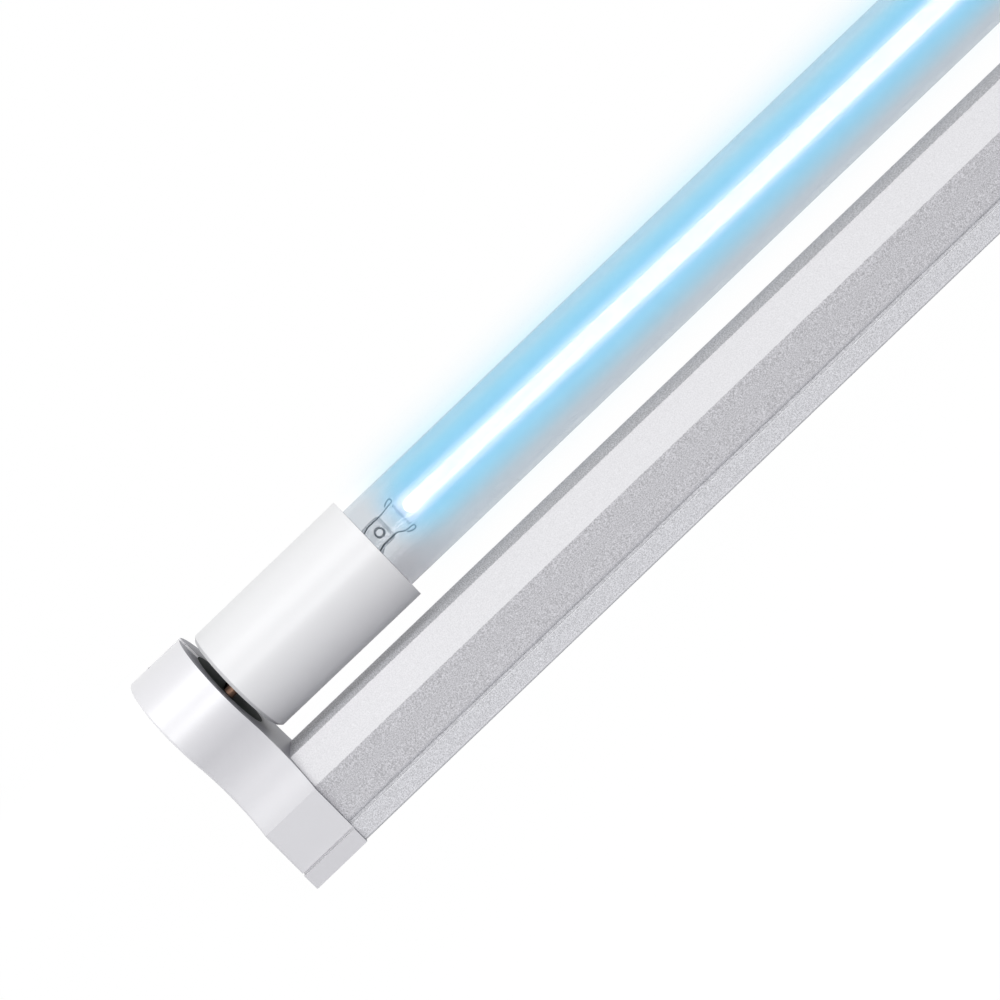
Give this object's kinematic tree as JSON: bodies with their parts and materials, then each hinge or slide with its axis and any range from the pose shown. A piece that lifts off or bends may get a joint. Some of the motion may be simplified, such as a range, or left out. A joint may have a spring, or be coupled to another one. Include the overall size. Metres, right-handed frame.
{
  "type": "uvc germicidal lamp tube in a batten fitting",
  "caption": "Clear germicidal discharge tube with white bi-pin end sleeves, held by turning holders in moulded end caps on a folded sheet channel.",
  "frame": {"origin": "centre of the base tray's wall face", "axes": "+X along the lamp, +Z away from the wall face, +Y across the channel"},
  "size_m": [0.467, 0.0352, 0.0527],
  "materials": {
    "sheet_paint": "fine sandy grey enamel",
    "tray_paint": "fine sandy grey enamel, a shade lighter",
    "cap_plastic": "moulded white, soft gloss",
    "rotor_plastic": "near-black green moulding",
    "contact_bronze": "bare bronze leaf",
    "screw_steel": "zinc plated",
    "quartz": "clear fused quartz",
    "ferrule_white": "smooth white end sleeve",
    "pin_brass": "plain turned brass",
    "stem_glass": "clear pressed glass",
    "lead_nickel": "nickel wire",
    "tungsten": "coated tungsten coil",
    "bush_rubber": "soft moulded",
    "ballast_plastic": "flame-retardant moulding",
    "board_green": "coated circuit board",
    "ferrite": "sintered ferrite",
    "winding_copper": "enamelled copper wire",
    "capacitor_sleeve": "shrunk sleeve",
    "film_red": "dipped film",
    "transistor_black": "moulded package",
    "connector_white": "moulded",
    "lamp_wire": "insulated wire",
    "live_brown": "insulated wire",
    "neutral_blue": "insulated wire",
    "earth_green": "insulated wire",
    "earth_metal": "plain"
  },
  "bodies": {
    "fixture": {"cover": "sheet_paint", "base_tray": "tray_paint", "left_end_cap": "cap_plastic", "left_socket_plate": "cap_plastic", "right_end_cap": "cap_plastic", "right_socket_plate": "cap_plastic", "left_contact_front": "contact_bronze", "left_contact_rear": "contact_bronze", "right_contact_front": "contact_bronze", "right_contact_rear": "contact_bronze", "left_cap_screw": "screw_steel", "right_cap_screw": "screw_steel", "ballast_screws": "screw_steel", "terminal_screws": "screw_steel", "cable_bush": "bush_rubber", "ballast_case": "ballast_plastic", "ballast_lid": "ballast_plastic", "ballast_board": "board_green", "choke_core": "ferrite", "choke_winding": "winding_copper", "main_capacitor": "capacitor_sleeve", "film_capacitors": "film_red", "transistors": "transistor_black", "ballast_connectors": "connector_white", "terminal_block": "connector_white", "left_lamp_wires": "lamp_wire", "right_lamp_wires": "lamp_wire", "live_wire": "live_brown", "neutral_wire": "neutral_blue", "earth_wire": "earth_green", "earth_ring": "earth_metal", "earth_screw": "earth_metal"},
    "lamp": {"quartz_tube": "quartz", "left_ferrule": "ferrule_white", "left_pin_front": "pin_brass", "left_pin_rear": "pin_brass", "left_stem": "stem_glass", "left_lead_wire_upper": "lead_nickel", "left_lead_wire_lower": "lead_nickel", "left_filament": "tungsten", "right_ferrule": "ferrule_white", "right_pin_front": "pin_brass", "right_pin_rear": "pin_brass", "right_stem": "stem_glass", "right_lead_wire_upper": "lead_nickel", "right_lead_wire_lower": "lead_nickel", "right_filament": "tungsten"},
    "left_rotor_body": {"left_rotor": "rotor_plastic"},
    "right_rotor_body": {"right_rotor": "rotor_plastic"}
  },
  "joints": [
    {"name": "lamp_turn", "type": "hinge", "parent": "fixture", "child": "lamp", "pos_m": [0, 0, 0.0385], "axis": [1, 0, 0], "range_deg": [0, 90]},
    {"name": "left_rotor_turn", "type": "hinge", "parent": "fixture", "child": "left_rotor_body", "pos_m": [-0.2215, 0, 0.0385], "axis": [1, 0, 0], "range_deg": [0, 90]},
    {"name": "right_rotor_turn", "type": "hinge", "parent": "fixture", "child": "right_rotor_body", "pos_m": [0.2215, 0, 0.0385], "axis": [1, 0, 0], "range_deg": [0, 90]}
  ],
  "couplings": [
    {"joint": "left_rotor_turn", "follows": "lamp_turn", "ratio": 1},
    {"joint": "right_rotor_turn", "follows": "lamp_turn", "ratio": 1}
  ]
}
